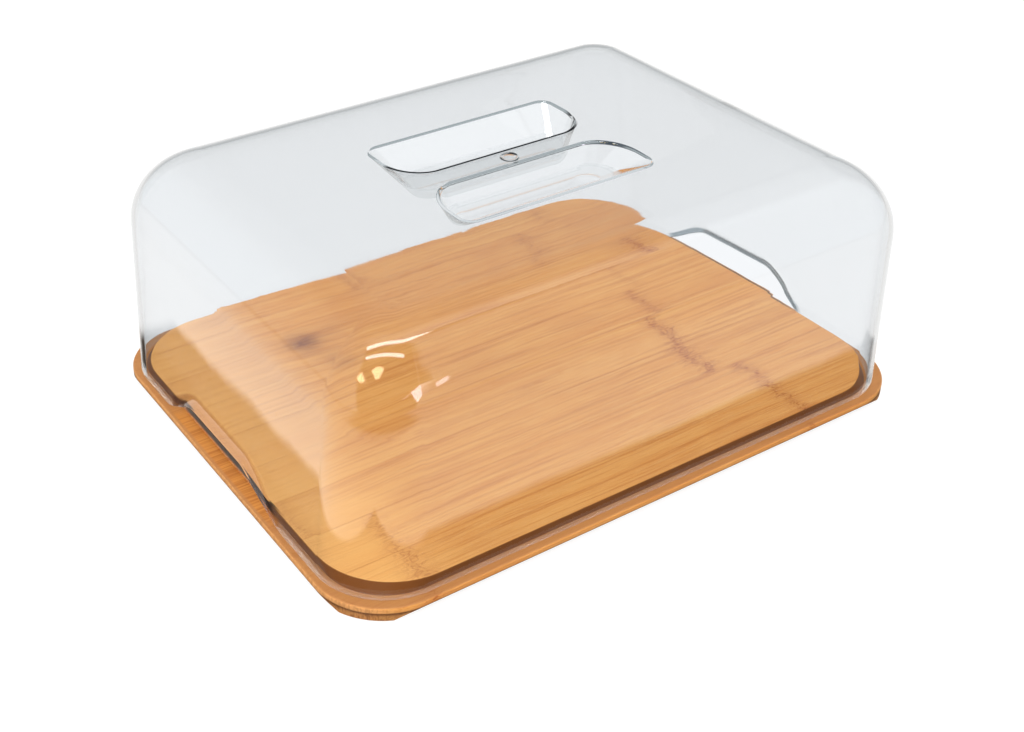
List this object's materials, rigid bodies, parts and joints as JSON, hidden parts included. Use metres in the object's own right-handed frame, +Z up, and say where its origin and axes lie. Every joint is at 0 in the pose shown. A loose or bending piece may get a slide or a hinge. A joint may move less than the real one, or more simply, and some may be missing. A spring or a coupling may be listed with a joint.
{
  "type": "cheese dome",
  "caption": "Rectangular laminated bamboo serving board with a raised plateau, covered by a one-piece clear moulded dome with recessed finger grips that lifts off.",
  "frame": {"origin": "centre of the board's underside, on the surface it stands on", "axes": "+X along the board's long side and the bamboo grain, +Y across the board, +Z up towards the cover's finger grips"},
  "size_m": [0.3, 0.232, 0.1142],
  "materials": {
    "bamboo": "oiled edge-glued bamboo strips with grain along X, brown node bands and a darker shaded plateau wall",
    "bamboo_underside": "planed unoiled bamboo, darker and coarser than the serving face",
    "clear_plastic": "clear colourless moulded plastic, polished, with a slight grey tint at its edges"
  },
  "bodies": {
    "board": {"upper_strip_1": "bamboo", "upper_strip_2": "bamboo", "upper_strip_3": "bamboo", "upper_strip_4": "bamboo", "upper_strip_5": "bamboo", "upper_strip_6": "bamboo", "upper_strip_7": "bamboo", "upper_strip_8": "bamboo", "upper_strip_9": "bamboo", "lower_strip_1": "bamboo_underside", "lower_strip_2": "bamboo_underside", "lower_strip_3": "bamboo_underside", "lower_strip_4": "bamboo_underside", "lower_strip_5": "bamboo_underside", "lower_strip_6": "bamboo_underside", "lower_strip_7": "bamboo_underside", "lower_strip_8": "bamboo_underside", "lower_strip_9": "bamboo_underside", "lower_strip_10": "bamboo_underside"},
    "cover": {"cover": "clear_plastic"}
  },
  "joints": [
    {"name": "cover_lift", "type": "slide", "parent": "board", "child": "cover", "axis": [0, 0, 1], "range_m": [0, 0.15]}
  ]
}
